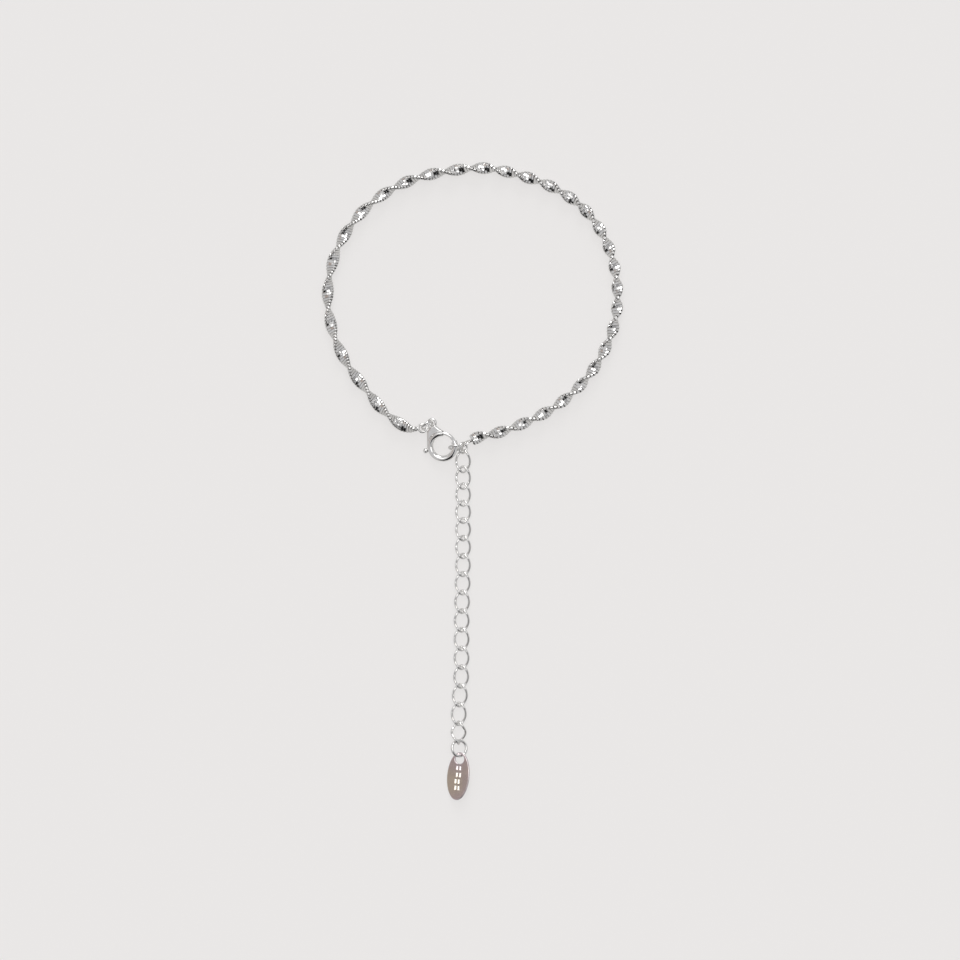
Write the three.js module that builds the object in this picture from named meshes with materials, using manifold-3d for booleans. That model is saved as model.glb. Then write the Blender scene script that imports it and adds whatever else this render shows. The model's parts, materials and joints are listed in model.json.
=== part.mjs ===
// A bracelet: a twisted serpentine band on edge and on face by turns, closed by a spring-ring
// clasp, with an extender of twisted curb links that ends in an oval tag.
// Millimetres, +Z up. It lies on the plane z = 0 with the loop round the wrist hollow and the
// extender running towards -Y. Places are given from the centre of the loop, and the whole group
// is moved at the end so that its origin is the middle of the bottom of its bounding box.
import * as THREE from 'three';
import { mergeVertices } from 'three/addons/utils/BufferGeometryUtils.js';
import Module from 'manifold-3d';

const wasm = await Module();
wasm.setup();

const radians = THREE.MathUtils.degToRad;

// ---------------------------------------------------------------------------------------------
// Driving dimensions
// ---------------------------------------------------------------------------------------------

const band = {
  width: 2.05,
  thickness: 0.65,
  chamfer: 0.16,
  steps: 288,
  middleHeight: 1.03,
  loopRadius: 0.69,
  loopWire: 0.19,
  neckRadius: 0.27,
};

// The route of the band clockwise round the loop: a bearing from the centre and a distance.
const bandRoute = [
  { bearing: 246.2, radius: 23.80 },
  { bearing: 243.8, radius: 24.32 },
  { bearing: 238, radius: 24.42 },
  { bearing: 229, radius: 24.18 },
  { bearing: 219, radius: 23.79 },
  { bearing: 208, radius: 24.10 },
  { bearing: 194, radius: 24.65 },
  { bearing: 178, radius: 25.14 },
  { bearing: 161, radius: 25.24 },
  { bearing: 145, radius: 24.91 },
  { bearing: 130, radius: 24.33 },
  { bearing: 115, radius: 23.67 },
  { bearing: 100, radius: 23.14 },
  { bearing: 85, radius: 23.36 },
  { bearing: 70, radius: 23.48 },
  { bearing: 55, radius: 24.26 },
  { bearing: 40, radius: 25.14 },
  { bearing: 25, radius: 25.36 },
  { bearing: 10, radius: 25.14 },
  { bearing: -5, radius: 24.84 },
  { bearing: -20, radius: 24.16 },
  { bearing: -35, radius: 23.50 },
  { bearing: -50, radius: 22.95 },
  { bearing: -65, radius: 22.59 },
  { bearing: -80, radius: 22.90 },
  { bearing: -87.5, radius: 23.22 },
  { bearing: -91.0, radius: 23.86 },
];

// Where the band lies on its broad face: the number of half turns and the distance from its start.
const broadFaces = [
  { halfTurns: -1, distance: -2.2 },
  { halfTurns: 0, distance: 3.05 },
  { halfTurns: 3, distance: 19.14 },
  { halfTurns: 6, distance: 35.66 },
  { halfTurns: 9, distance: 50.28 },
  { halfTurns: 13, distance: 68.53 },
  { halfTurns: 17, distance: 84.45 },
  { halfTurns: 20, distance: 95.6 },
  { halfTurns: 24, distance: 109.8 },
  { halfTurns: 28, distance: 125.2 },
  { halfTurns: 32, distance: 141.7 },
  { halfTurns: 33, distance: 146.2 },
];

// The clasp's own frame: X runs from the middle of its ring to its eyelet, Z is the ring's axis.
const clasp = {
  centre: new THREE.Vector3(-5.26, -24.74, 1.17),
  eyeletBearing: 114.7,
  roll: -15,
  ringRadius: 2.2,
  tubeRadius: 0.52,
  boreRadius: 0.40,
  boltRadius: 0.30,
  eyeletDistance: 4.38,
  eyeletRadius: 0.67,
  eyeletWire: 0.20,
  webThickness: 0.70,
  webChamfer: 0.14,
  knobDistance: 3.06,
  knobRadius: 0.38,
  stemRadius: 0.17,
  slotHalfHeight: 0.27,
};

// Bearings round the clasp's ring, counted from its eyelet.
const claspArc = {
  gateFrom: -92.7,
  gateTo: -26.7,
  socketEnd: -110,
  boreEnd: 190,
  slotFrom: 75,
  slotTo: 155.5,
  boltTip: -101,
  boltTail: 90,
  knob: 81.3,
};

// Round rings: a centre, the bearing of the level line in their plane, and the tilt about it.
const jumpRing = {
  centre: new THREE.Vector3(-7.92, -21.21, 1.17), radius: 1.0, wire: 0.20, bearing: 28.3, tilt: 65,
};
const catchRing = {
  centre: new THREE.Vector3(-2.98, -25.03, 1.70), radius: 1.14, wire: 0.19, bearing: 0, tilt: 73,
};
const endRing = {
  centre: new THREE.Vector3(-1.70, -25.08, 0.97), radius: 0.90, wire: 0.18, bearing: 82, tilt: 46,
};
const tagRing = {
  centre: new THREE.Vector3(-2.39, -77.0, 0.975), radius: 1.34, wire: 0.22, bearing: 98, tilt: 25,
};

// The end loops soldered to the band.
const startLoop = { centre: new THREE.Vector3(-8.75, -21.66, 1.03), lean: 0 };
const finishLoop = { centre: new THREE.Vector3(-1.22, -24.29, 0.86), lean: 107 };

const extender = {
  links: 16,
  start: -27.35,
  firstPitch: 2.88,
  pitchGrowth: 0.046,
  lastPitch: 3.235,
  halfLength: 1.92,
  halfWidth: 1.19,
  wire: 0.21,
  twist: 45,
  firstTopTwist: 48.5,
  lastTopTwist: 79.5,
  lastBottomTwist: 88.2,
  height: 0.70,
  lastHeight: 0.98,
};

// The line that the extender hangs along: how far it lies to the side at each place.
const extenderLine = [
  { across: -1.73, along: -24 },
  { across: -1.73, along: -45 },
  { across: -1.95, along: -55 },
  { across: -2.05, along: -65 },
  { across: -2.42, along: -70 },
  { across: -2.50, along: -78 },
];

const tag = {
  centre: new THREE.Vector3(-2.54, -81.82, 0),
  width: 4.24,
  length: 8.3,
  thickness: 0.36,
  edge: 0.06,
  holeRadius: 0.825,
  holeFromTop: 1.17,
  lean: -5.4,
  pitch: 0.5,
  roll: -25.3,
};

// ---------------------------------------------------------------------------------------------
// Materials
// ---------------------------------------------------------------------------------------------

function silver(name, color, roughness) {
  return new THREE.MeshStandardMaterial({ name, color, roughness, metalness: 1 });
}

const chainSilver = silver('chain_silver', 0xdcdad6, 0.16);
const claspSilver = silver('clasp_silver', 0xe4e2de, 0.12);
const wireSilver = silver('wire_silver', 0xe0deda, 0.14);
const tagSilver = silver('tag_silver', 0xa89d95, 0.22);

// ---------------------------------------------------------------------------------------------
// Solids
// ---------------------------------------------------------------------------------------------

// A three.js geometry as a solid that can be joined and cut.
function solid(geometry) {
  const bare = geometry.clone();
  bare.deleteAttribute('normal');
  bare.deleteAttribute('uv');
  const merged = mergeVertices(bare, 1e-5);
  return new wasm.Manifold(new wasm.Mesh({
    numProp: 3,
    vertProperties: new Float32Array(merged.attributes.position.array),
    triVerts: new Uint32Array(merged.index.array),
  }));
}

// A solid back as a three.js geometry.
function geometryOf(shape) {
  const { vertProperties, triVerts } = shape.getMesh();
  const geometry = new THREE.BufferGeometry();
  geometry.setAttribute('position', new THREE.BufferAttribute(vertProperties, 3));
  geometry.setIndex(new THREE.BufferAttribute(triVerts, 1));
  geometry.computeVertexNormals();
  return geometry;
}

function torus(radius, wire, sides, segments) {
  return new THREE.TorusGeometry(radius, wire, sides, segments);
}

// A closed bar with round section along an arc about Z, between two bearings in degrees.
function arcBar(radius, wire, from, to, sides, steps) {
  const arc = new THREE.Curve();
  arc.getPoint = (t, target = new THREE.Vector3()) => {
    const angle = radians(THREE.MathUtils.lerp(from, to, t));
    return target.set(radius * Math.cos(angle), radius * Math.sin(angle), 0);
  };
  const section = new THREE.Shape();
  for (let i = 0; i < sides; i += 1) {
    const angle = (2 * Math.PI * i) / sides;
    const place = [wire * Math.cos(angle), wire * Math.sin(angle)];
    if (i === 0) section.moveTo(...place);
    else section.lineTo(...place);
  }
  return new THREE.ExtrudeGeometry(section, { steps, extrudePath: arc, bevelEnabled: false });
}

// A flat slice of a ring about Z between two radii and two bearings, centred on z = 0.
function ringSlice(inner, outer, from, to, height) {
  const shape = new THREE.Shape();
  shape.absarc(0, 0, outer, radians(from), radians(to), false);
  shape.absarc(0, 0, inner, radians(to), radians(from), true);
  const geometry = new THREE.ExtrudeGeometry(shape, {
    depth: height, bevelEnabled: false, curveSegments: 10,
  });
  return geometry.translate(0, 0, -height / 2);
}

// A cylinder between two points.
function rod(from, to, radius, sides) {
  const length = from.distanceTo(to);
  const geometry = new THREE.CylinderGeometry(radius, radius, length, sides);
  const along = to.clone().sub(from).normalize();
  geometry.applyQuaternion(new THREE.Quaternion().setFromUnitVectors(THREE.Object3D.DEFAULT_UP, along));
  const middle = from.clone().lerp(to, 0.5);
  return geometry.translate(middle.x, middle.y, middle.z);
}

function addMesh(parent, name, geometry, material) {
  const mesh = new THREE.Mesh(geometry, material);
  mesh.name = name;
  parent.add(mesh);
  return mesh;
}

// ---------------------------------------------------------------------------------------------
// The twisted band with its two soldered end loops
// ---------------------------------------------------------------------------------------------

function routePoint({ bearing, radius }) {
  const angle = radians(bearing);
  return new THREE.Vector3(radius * Math.cos(angle), radius * Math.sin(angle), band.middleHeight);
}

// The turn of the band about its own middle line, in radians, at a distance from its start.
function turnAt(distance) {
  const last = broadFaces.length - 1;
  let row = 1;
  while (row < last && broadFaces[row].distance < distance) row += 1;
  const before = broadFaces[row - 1];
  const after = broadFaces[row];
  const share = (distance - before.distance) / (after.distance - before.distance);
  return Math.PI * THREE.MathUtils.lerp(before.halfTurns, after.halfTurns, share);
}

// A level route whose frames turn steadily, so that what is extruded along it is twisted.
class TwistedRoute extends THREE.CatmullRomCurve3 {
  computeFrenetFrames(steps) {
    const length = this.getLength();
    const frames = { tangents: [], normals: [], binormals: [] };
    for (let i = 0; i <= steps; i += 1) {
      const tangent = this.getTangentAt(i / steps);
      const left = new THREE.Vector3(-tangent.y, tangent.x, 0).normalize();
      const up = new THREE.Vector3(0, 0, 1);
      const turn = turnAt((length * i) / steps);
      const broad = left.clone().multiplyScalar(Math.cos(turn)).addScaledVector(up, Math.sin(turn));
      frames.tangents.push(tangent);
      frames.normals.push(broad);
      frames.binormals.push(new THREE.Vector3().crossVectors(tangent, broad));
    }
    return frames;
  }
}

function bandSection() {
  const x = band.width / 2;
  const y = band.thickness / 2;
  const c = band.chamfer;
  const shape = new THREE.Shape();
  shape.moveTo(x, -y + c);
  shape.lineTo(x, y - c);
  shape.lineTo(x - 2 * c, y);
  shape.lineTo(-x + 2 * c, y);
  shape.lineTo(-x, y - c);
  shape.lineTo(-x, -y + c);
  shape.lineTo(-x + 2 * c, -y);
  shape.lineTo(x - 2 * c, -y);
  shape.closePath();
  return shape;
}

// A wire loop with the neck that joins it to the end of the band. The loop's plane holds the line
// to the band's end and leans about it.
function endLoop(loop, bandEnd) {
  const along = bandEnd.clone().sub(loop.centre).normalize();
  const level = new THREE.Vector3(-along.y, along.x, 0).normalize();
  const raised = new THREE.Vector3().crossVectors(along, level);
  const lean = radians(loop.lean);
  const side = level.clone().multiplyScalar(Math.cos(lean)).addScaledVector(raised, Math.sin(lean));
  const normal = new THREE.Vector3().crossVectors(along, side);
  const ring = torus(band.loopRadius, band.loopWire, 6, 16);
  ring.applyMatrix4(new THREE.Matrix4().makeBasis(along, side, normal).setPosition(loop.centre));
  const neckStart = loop.centre.clone().addScaledVector(along, band.loopRadius);
  const neckEnd = bandEnd.clone().addScaledVector(along, band.loopWire);
  return solid(ring).add(solid(rod(neckStart, neckEnd, band.neckRadius, 8)));
}

function twistedChain() {
  const route = new TwistedRoute(bandRoute.map(routePoint), false, 'centripetal');
  route.arcLengthDivisions = 1000;
  const strand = new THREE.ExtrudeGeometry(bandSection(), {
    steps: band.steps, extrudePath: route, bevelEnabled: false,
  });
  const shape = solid(strand)
    .add(endLoop(startLoop, route.getPoint(0)))
    .add(endLoop(finishLoop, route.getPoint(1)));
  return geometryOf(shape);
}

// ---------------------------------------------------------------------------------------------
// The spring-ring clasp
// ---------------------------------------------------------------------------------------------

// The web that fills between the ring and the eyelet: straight on one side, shouldered on the other.
function claspWeb() {
  const { ringRadius: r, webThickness, webChamfer } = clasp;
  const shape = new THREE.Shape();
  shape.moveTo(r + 0.12, -0.98);
  shape.lineTo(3.40, -0.42);
  shape.lineTo(3.70, -0.30);
  shape.lineTo(3.70, 0.52);
  shape.lineTo(3.28, 1.36);
  shape.lineTo(1.10, 2.36);
  shape.absarc(0, 0, r, radians(64), radians(-23), true);
  const geometry = new THREE.ExtrudeGeometry(shape, {
    depth: webThickness - 2 * webChamfer,
    bevelThickness: webChamfer,
    bevelSize: webChamfer,
    bevelSegments: 1,
    curveSegments: 8,
  });
  return geometry.translate(0, 0, webChamfer - webThickness / 2);
}

function claspBody() {
  const { ringRadius: r, tubeRadius, boreRadius, slotHalfHeight } = clasp;
  const arc = claspArc;
  const gate = ringSlice(r - 1.2, r + 1.2, arc.gateFrom, arc.gateTo, 3);
  const bore = arcBar(r, boreRadius, arc.gateTo - 3, arc.boreEnd, 10, 22);
  const socket = arcBar(r, boreRadius, arc.socketEnd, arc.gateFrom + 3, 10, 4);
  const slot = ringSlice(r, r + 1.2, arc.slotFrom, arc.slotTo, 2 * slotHalfHeight);
  const eyelet = torus(clasp.eyeletRadius, clasp.eyeletWire, 8, 16);
  eyelet.translate(clasp.eyeletDistance, 0, 0);
  const shape = solid(torus(r, tubeRadius, 12, 40))
    .add(solid(claspWeb()))
    .add(solid(eyelet))
    .subtract(solid(gate))
    .subtract(solid(bore))
    .subtract(solid(socket))
    .subtract(solid(slot));
  return geometryOf(shape);
}

function claspBolt() {
  const angle = radians(claspArc.knob);
  const outwards = new THREE.Vector3(Math.cos(angle), Math.sin(angle), 0);
  const stemStart = outwards.clone().multiplyScalar(clasp.ringRadius);
  const knobCentre = outwards.clone().multiplyScalar(clasp.knobDistance);
  const bar = arcBar(clasp.ringRadius, clasp.boltRadius, claspArc.boltTip, claspArc.boltTail, 8, 24);
  const knob = new THREE.SphereGeometry(clasp.knobRadius, 12, 8);
  knob.translate(knobCentre.x, knobCentre.y, knobCentre.z);
  const shape = solid(bar)
    .add(solid(rod(stemStart, knobCentre, clasp.stemRadius, 8)))
    .add(solid(knob));
  return geometryOf(shape);
}

// ---------------------------------------------------------------------------------------------
// Rings and extender links
// ---------------------------------------------------------------------------------------------

function addRing(parent, name, ring) {
  const mesh = addMesh(parent, name, torus(ring.radius, ring.wire, 6, 16), wireSilver);
  mesh.position.copy(ring.centre);
  mesh.rotation.set(radians(ring.tilt), 0, radians(ring.bearing), 'ZXY');
  return mesh;
}

// An oval wire link, long along Y, whose two ends are turned opposite ways about Y.
class TwistedOval extends THREE.Curve {
  constructor(topTwist, bottomTwist) {
    super();
    this.topTwist = topTwist;
    this.bottomTwist = bottomTwist;
  }

  getPoint(t, target = new THREE.Vector3()) {
    const angle = 2 * Math.PI * t;
    const across = extender.halfWidth * Math.cos(angle);
    const along = Math.sin(angle);
    const twist = radians(THREE.MathUtils.lerp(-this.bottomTwist, this.topTwist, (along + 1) / 2));
    return target.set(
      across * Math.cos(twist),
      extender.halfLength * along,
      across * Math.sin(twist),
    );
  }
}

function addExtender(parent) {
  const line = new THREE.CatmullRomCurve3(
    extenderLine.map(({ across, along }) => new THREE.Vector3(across, along, 0)),
  );
  const length = line.getLength();
  let distance = extenderLine[0].along - extender.start;
  for (let i = 0; i < extender.links; i += 1) {
    const first = i === 0;
    const last = i === extender.links - 1;
    let topTwist = extender.twist;
    if (first) topTwist = extender.firstTopTwist;
    if (last) topTwist = extender.lastTopTwist;
    const bottomTwist = last ? extender.lastBottomTwist : extender.twist;
    const oval = new TwistedOval(topTwist, bottomTwist);
    const geometry = new THREE.TubeGeometry(oval, 16, extender.wire, 6, true);
    const name = `extender_link_${String(i + 1).padStart(2, '0')}`;
    const mesh = addMesh(parent, name, geometry, wireSilver);
    mesh.position.copy(line.getPointAt(distance / length));
    mesh.position.z = last ? extender.lastHeight : extender.height;
    const down = line.getTangentAt(distance / length);
    mesh.rotation.z = Math.atan2(down.x, -down.y);
    distance += Math.min(extender.firstPitch + extender.pitchGrowth * i, extender.lastPitch);
  }
}

// ---------------------------------------------------------------------------------------------
// The oval tag
// ---------------------------------------------------------------------------------------------

function tagPlate() {
  const { width, length, thickness, edge } = tag;
  const outline = new THREE.Shape();
  outline.absellipse(0, 0, width / 2 - edge, length / 2 - edge, 0, 2 * Math.PI);
  const hole = new THREE.Path();
  hole.absarc(0, length / 2 - tag.holeFromTop, tag.holeRadius + edge, 0, 2 * Math.PI, true);
  outline.holes.push(hole);
  const geometry = new THREE.ExtrudeGeometry(outline, {
    depth: thickness - 2 * edge,
    bevelThickness: edge,
    bevelSize: edge,
    bevelSegments: 1,
    curveSegments: 18,
  });
  return geometryOf(solid(geometry.translate(0, 0, edge - thickness / 2)));
}

// The tag lies with its lower end on the surface and its ringed end raised.
function addTag(parent) {
  const mesh = addMesh(parent, 'tag', tagPlate(), tagSilver);
  mesh.position.copy(tag.centre);
  mesh.rotation.set(radians(tag.pitch), radians(tag.roll), radians(tag.lean), 'ZXY');
  mesh.updateMatrixWorld();
  mesh.position.z -= new THREE.Box3().setFromObject(mesh, true).min.z;
}

// ---------------------------------------------------------------------------------------------
// The bracelet
// ---------------------------------------------------------------------------------------------

const bracelet = new THREE.Group();
addMesh(bracelet, 'twisted_chain', twistedChain(), chainSilver);

const claspFrame = new THREE.Group();
claspFrame.position.copy(clasp.centre);
claspFrame.rotation.set(radians(clasp.roll), 0, radians(clasp.eyeletBearing), 'ZXY');
addMesh(claspFrame, 'clasp_body', claspBody(), claspSilver);
addMesh(claspFrame, 'clasp_bolt', claspBolt(), claspSilver);
bracelet.add(claspFrame);

addRing(bracelet, 'jump_ring', jumpRing);
addRing(bracelet, 'catch_ring', catchRing);
addRing(bracelet, 'end_ring', endRing);
addExtender(bracelet);
addRing(bracelet, 'tag_ring', tagRing);
addTag(bracelet);

const bounds = new THREE.Box3().setFromObject(bracelet, true);
const middle = bounds.getCenter(new THREE.Vector3());
bracelet.position.set(-middle.x, -middle.y, -bounds.min.z);

export default bracelet;
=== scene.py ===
# A silver bracelet: a twisted serpentine chain closed by a spring ring, with an extender of
# curb links that ends in an oval tag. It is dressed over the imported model, in the same frame.
import json
import math
import random

import bmesh
import bpy
import numpy as np
from bpy.props import FloatProperty, FloatVectorProperty, IntProperty, PointerProperty
from bpy.types import Operator, Panel, PropertyGroup
from mathutils import Euler, Matrix, Vector


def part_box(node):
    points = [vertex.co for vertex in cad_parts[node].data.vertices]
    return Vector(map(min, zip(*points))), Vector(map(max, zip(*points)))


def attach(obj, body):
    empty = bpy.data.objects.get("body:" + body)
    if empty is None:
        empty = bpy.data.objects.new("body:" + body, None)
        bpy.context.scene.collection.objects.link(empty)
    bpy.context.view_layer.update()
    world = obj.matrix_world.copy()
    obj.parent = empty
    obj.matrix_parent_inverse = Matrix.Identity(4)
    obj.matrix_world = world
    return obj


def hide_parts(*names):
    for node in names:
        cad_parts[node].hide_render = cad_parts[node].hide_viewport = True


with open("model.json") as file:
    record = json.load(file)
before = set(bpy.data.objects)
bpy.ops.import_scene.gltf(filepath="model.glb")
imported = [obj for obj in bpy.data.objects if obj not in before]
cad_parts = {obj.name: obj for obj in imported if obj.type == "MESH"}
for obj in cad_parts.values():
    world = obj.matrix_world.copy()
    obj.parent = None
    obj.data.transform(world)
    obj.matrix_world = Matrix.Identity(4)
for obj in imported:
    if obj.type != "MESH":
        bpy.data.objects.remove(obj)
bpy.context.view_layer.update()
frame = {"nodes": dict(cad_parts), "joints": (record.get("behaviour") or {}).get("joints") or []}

bl_info = {
    "name": "Twisted Chain Bracelet",
    "version": (1, 0, 0),
    "blender": (4, 5, 0),
    "location": "3D View > Sidebar > Bracelet",
    "description": "Dresses a silver bracelet with its chain, spring ring, extender and oval tag",
    "category": "Object",
}

# Meshes are worked out in millimetres and brought to metres when they become objects.
MM = 0.001

# Points closer than this are one, and arcs have a point every so many degrees.
TOUCHING = 1e-4
ARC_STEP = 4

# The clasp's ring turns about this place, and the loop's middle is counted from it.
CLASP_CENTRE = Vector(frame["joints"][0]["pos_m"]) / MM
LOOP_MIDDLE = CLASP_CENTRE - Vector((-5.26, -24.74, 1.17))

# The chain's route clockwise round the loop: a bearing from the middle and a distance.
CHAIN_HEIGHT = 1.03
CHAIN_ROUTE = (
    (246.2, 23.80), (243.8, 24.32), (238, 24.42), (229, 24.18), (219, 23.79), (208, 24.10),
    (194, 24.65), (178, 25.14), (161, 25.24), (145, 24.91), (130, 24.33), (115, 23.67),
    (100, 23.14), (85, 23.36), (70, 23.48), (55, 24.26), (40, 25.14), (25, 25.36),
    (10, 25.14), (-5, 24.84), (-20, 24.16), (-35, 23.50), (-50, 22.95), (-65, 22.59),
    (-80, 22.90), (-87.5, 23.22), (-91.0, 23.86),
)

# Half turns of the chain about its own line, and how far along it they are reached.
HALF_TURNS = (-1, 0, 3, 6, 9, 13, 17, 20, 24, 28, 32, 33)
TURN_PLACES = (
    -2.2, 3.05, 19.14, 35.66, 50.28, 68.53, 84.45, 95.6, 109.8, 125.2, 141.7, 146.2,
)

# The soldered end loops: a middle, the lean of the loop about the line to the chain, and which
# end of the route it closes.
END_LOOPS = (((-8.75, -21.66, 1.03), 0, 0), ((-1.22, -24.29, 0.86), 107, -1))
END_LOOP_RADIUS = 0.69
END_LOOP_WIRE = 0.185

# The neck from a loop to the chain: how far it runs into either, and its radius along it.
NECK_IN_LOOP = 0.12
NECK_IN_CHAIN = 0.30
NECK_STEPS = (0.0, 0.12, 0.25, 0.5, 0.8, 1.0)
NECK_RADII = (0.14, 0.24, 0.27, 0.27, 0.30, 0.20)

# Round rings: the bearing of the level line in their plane, the tilt about it, their radius
# and the thickness of their wire from its middle.
RINGS = {
    "jump_ring": (28.3, 65, 1.0, 0.20),
    "catch_ring": (0, 73, 1.14, 0.19),
    "end_ring": (82, 46, 0.90, 0.18),
    "tag_ring": (98, 25, 1.34, 0.24),
}

# The clasp's own frame: X runs from the middle of its ring to its eyelet, Z is the ring's axis.
EYELET_BEARING = 114.7
CLASP_ROLL = -15
WEB_OUTLINE = ((2.30, -0.84), (3.36, -0.28), (3.62, -0.18), (3.62, 0.42), (3.20, 1.22),
               (1.04, 2.21))
WEB_ARC = (64, -23)

# Bearings round the clasp's ring, counted from its eyelet.
GATE = (-92.7, -26.7)
SLOT = (75, 155.5)
SOCKET_END = -110
BORE_END = 190
BOLT_TIP = -101
BOLT_TAIL = 90
KNOB_BEARING = 81.3

# What is cut from the ring: how far the cuts reach across it and along Z, the height of the
# knob's slot, and how many degrees the bore runs into the gate.
CUT_REACH = 1.2
GATE_HEIGHT = 3.0
SLOT_HEIGHT = 0.54
BORE_OVERLAP = 3

STEM_RADIUS = 0.16
TAPER = (0.62, 0.88, 0.97)
BALL_ANGLE = math.pi / 2 - 0.15
CLASP_MELT = 0.035
BOLT_MELT = 0.026

# ---------------------------------------------------------------------------------------
# Sizes and colours
# ---------------------------------------------------------------------------------------


def length(name, text, millimetres):
    """A length that a user may change, shown in the scene's own unit."""
    return FloatProperty(name=name, description=text, default=millimetres * MM, min=0.0,
                         precision=5, subtype="DISTANCE", unit="LENGTH")


def share(name, text, default):
    """A number from nought to one."""
    return FloatProperty(name=name, description=text, default=default, min=0.0, max=1.0,
                         subtype="FACTOR")


def colour(name, text, default):
    """A linear colour."""
    return FloatVectorProperty(name=name, description=text, default=default, size=3,
                               min=0.0, max=1.0, subtype="COLOR")


class ChainSettings(PropertyGroup):
    """The twisted serpentine chain."""

    half_width: length("Half width", "Middle of the chain to the middle of a link's end", 0.935)
    half_depth: length("Half depth", "Middle of the chain to the middle of a link's bar", 0.295)
    first_pitch: length("First pitch", "Spacing of the links at the clasp's end", 0.455)
    last_pitch: length("Last pitch", "Spacing of the links at the extender's end", 0.53)
    slant: length("Slant", "How far a bar leans along the chain from end to end", 0.22)
    face_share: share("Face share", "Share of the spacing that a bar fills on a face", 0.90)
    end_share: share("End share", "Share of the spacing that a link's end fills", 0.68)
    face_depth: length("Face depth", "Thickness of a link's bar on a face", 0.17)
    end_depth: length("End depth", "Thickness of a link's rounded end", 0.24)
    metal: colour("Metal", "Colour of the polished silver", (0.95, 0.94, 0.925))
    # The heart's colour is painted shade: a dark silver that stands for the shade in the gaps
    # between the links.
    heart: colour("Heart", "Colour of the tarnished silver between the links", (0.34, 0.33, 0.32))
    roughness: share("Roughness", "Roughness of the polished silver", 0.07)


class ClaspSettings(PropertyGroup):
    """The spring-ring clasp."""

    ring_radius: length("Ring radius", "Radius of the ring's middle line", 2.2)
    tube_radius: length("Tube radius", "Radius of the ring's tube", 0.52)
    bore_radius: length("Bore radius", "Radius of the hole that the bolt slides in", 0.40)
    bolt_radius: length("Bolt radius", "Radius of the bolt", 0.295)
    eyelet_distance: length("Eyelet distance", "Ring's middle to the eyelet's middle", 4.38)
    eyelet_radius: length("Eyelet radius", "Radius of the eyelet's middle line", 0.67)
    eyelet_wire: length("Eyelet wire", "Radius of the eyelet's wire", 0.20)
    web_thickness: length("Web thickness", "Thickness of the web at the eyelet", 0.70)
    web_bevel: length("Web bevel", "Rounding of the web's edges", 0.30)
    knob_distance: length("Knob distance", "Ring's middle to the knob's middle", 3.14)
    knob_radius: length("Knob radius", "Radius of the thumb knob", 0.44)
    metal: colour("Metal", "Colour of the polished silver", (0.93, 0.92, 0.905))
    roughness: share("Roughness", "Roughness of the polished silver", 0.09)


class WireSettings(PropertyGroup):
    """The rings and the extender's links."""

    link_wire: length("Link wire", "Radius of the wire of the extender's links", 0.21)
    half_length: length("Half length", "Half the length of a link's middle line", 1.92)
    half_width: length("Half width", "Half the width of a link's middle line", 1.19)
    sides: IntProperty(name="Wire sides", description="Faces round a wire", default=16, min=6)
    metal: colour("Metal", "Colour of the drawn silver wire", (0.93, 0.92, 0.905))
    roughness: share("Roughness", "Roughness of the drawn silver wire", 0.07)


class TagSettings(PropertyGroup):
    """The oval tag."""

    width: length("Width", "Width of the tag", 4.24)
    height: length("Length", "Length of the tag", 8.3)
    thickness: length("Thickness", "Thickness of the tag", 0.36)
    edge: length("Edge rounding", "Rounding of the tag's edges", 0.16)
    hole_radius: length("Hole radius", "Radius of the hole for the ring", 0.825)
    hole_from_top: length("Hole from top", "Top of the tag to the middle of the hole", 1.17)
    punch_depth: length("Punch depth", "Deepest side of the punched marks", 0.24)
    metal: colour("Metal", "Colour of the tag's silver", (0.84, 0.75, 0.77))
    second_metal: colour("Second metal", "Colour that the tag's silver drifts to in patches",
                         (0.80, 0.75, 0.65))
    roughness: share("Roughness", "Roughness of the tag's silver", 0.14)


class StageSettings(PropertyGroup):
    """The floor, the light and the camera."""

    floor: colour("Floor", "Colour of the pale floor", (0.860, 0.843, 0.834))
    mirrored: colour("Mirrored floor", "Colour of the floor in the silver's reflections",
                     (0.55, 0.543, 0.537))
    glow: share("Floor glow", "Share of the floor's brightness that is its own", 0.78)
    view_width: length("View width", "Width of the floor that the camera sees", 166.08)
    camera_height: length("Camera height", "Height of the camera over the floor", 1200)


# ---------------------------------------------------------------------------------------
# Shaders
# ---------------------------------------------------------------------------------------

MIX_FACTOR, MIX_A, MIX_B, MIX_RESULT = 0, 6, 7, 2


class Number:
    """A socket that Python arithmetic turns into Math nodes."""

    def __init__(self, shader, socket):
        self.shader = shader
        self.socket = socket

    def maths(self, operation, first, second):
        return self.shader.node("ShaderNodeMath", {"operation": operation},
                                {0: first, 1: second})

    def __add__(self, other):
        return self.maths("ADD", self, other)

    def __sub__(self, other):
        return self.maths("SUBTRACT", self, other)

    def __rsub__(self, other):
        return self.maths("SUBTRACT", other, self)

    def __mul__(self, other):
        return self.maths("MULTIPLY", self, other)

    __radd__ = __add__
    __rmul__ = __mul__


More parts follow.
